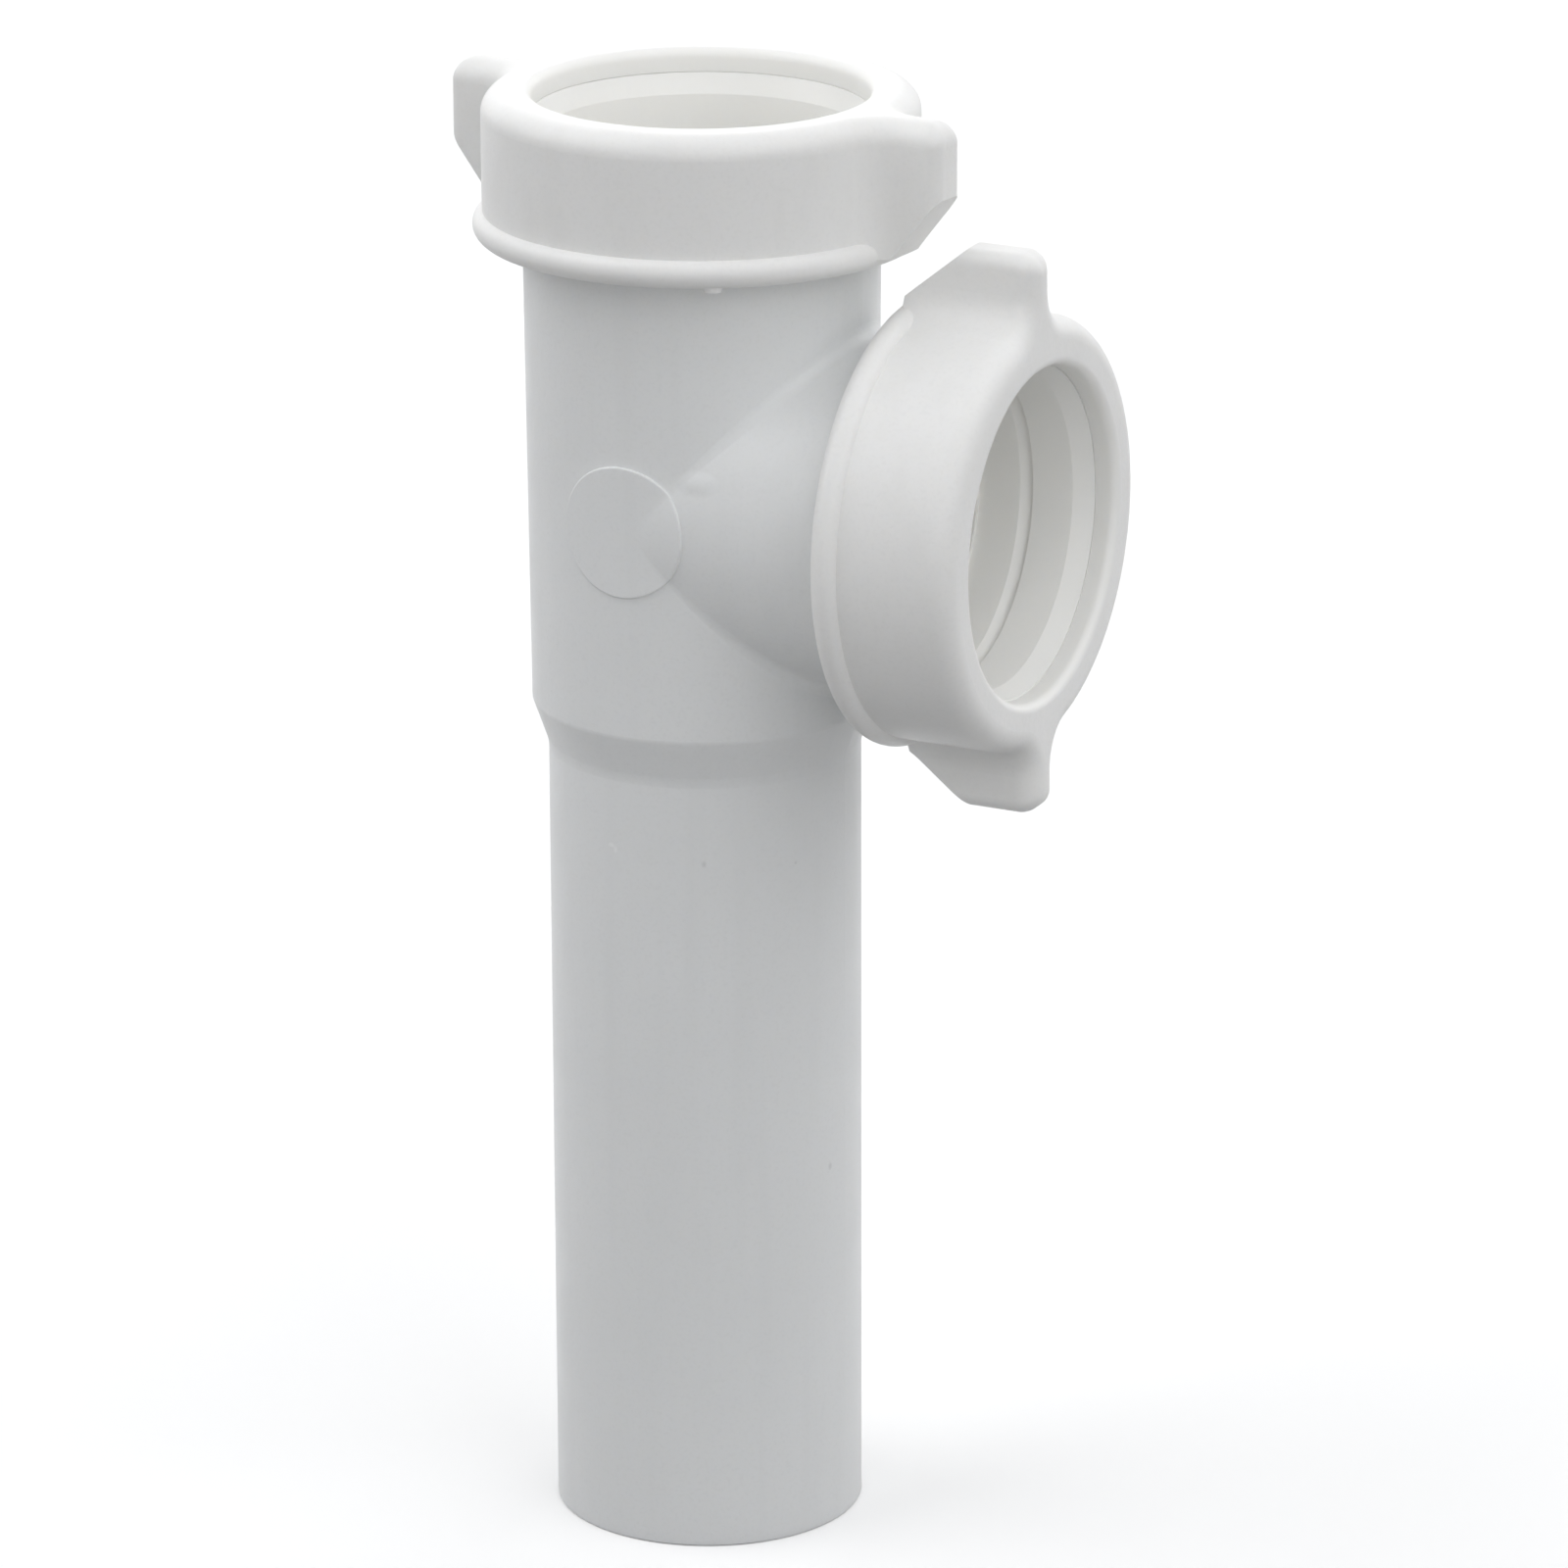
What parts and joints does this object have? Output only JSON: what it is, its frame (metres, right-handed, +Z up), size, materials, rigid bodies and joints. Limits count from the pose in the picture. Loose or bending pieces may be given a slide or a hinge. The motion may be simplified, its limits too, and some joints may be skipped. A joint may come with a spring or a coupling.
{
  "type": "baffle tee",
  "caption": "White plastic tubular drain tee with a plain tail, an inner baffle and winged slip nuts on its top and side sockets.",
  "frame": {"origin": "centre of the tail's lower end", "axes": "+Z up the tail and out of the top socket, +X out of the side branch"},
  "size_m": [0.0803, 0.0548, 0.1801],
  "materials": {
    "tee_plastic": "moulded satin",
    "nut_plastic": "moulded satin",
    "washer_plastic": "smooth"
  },
  "bodies": {
    "tee": {"tee_body": "tee_plastic"},
    "top_washer": {"top_slip_washer": "washer_plastic"},
    "top_nut": {"top_slip_nut": "nut_plastic"},
    "side_washer": {"side_slip_washer": "washer_plastic"},
    "side_nut": {"side_slip_nut": "nut_plastic"}
  },
  "joints": [
    {"name": "top_washer_lift", "type": "slide", "parent": "tee", "child": "top_washer", "axis": [0, 0, 1], "range_m": [0, 0.0094]},
    {"name": "top_nut_turn", "type": "hinge", "parent": "top_washer", "child": "top_nut", "pos_m": [0, 0, 0.17257], "axis": [0, 0, 1], "range_deg": [0, 1530]},
    {"name": "side_washer_lift", "type": "slide", "parent": "tee", "child": "side_washer", "axis": [1, 0, 0], "range_m": [0, 0.0094]},
    {"name": "side_nut_turn", "type": "hinge", "parent": "side_washer", "child": "side_nut", "pos_m": [0.03815, 0, 0.1304], "axis": [1, 0, 0], "range_deg": [0, 1530]}
  ],
  "couplings": [
    {"joint": "top_washer_lift", "follows": "top_nut_turn", "m_per_rad": 0.00035152},
    {"joint": "side_washer_lift", "follows": "side_nut_turn", "m_per_rad": 0.00035152}
  ]
}
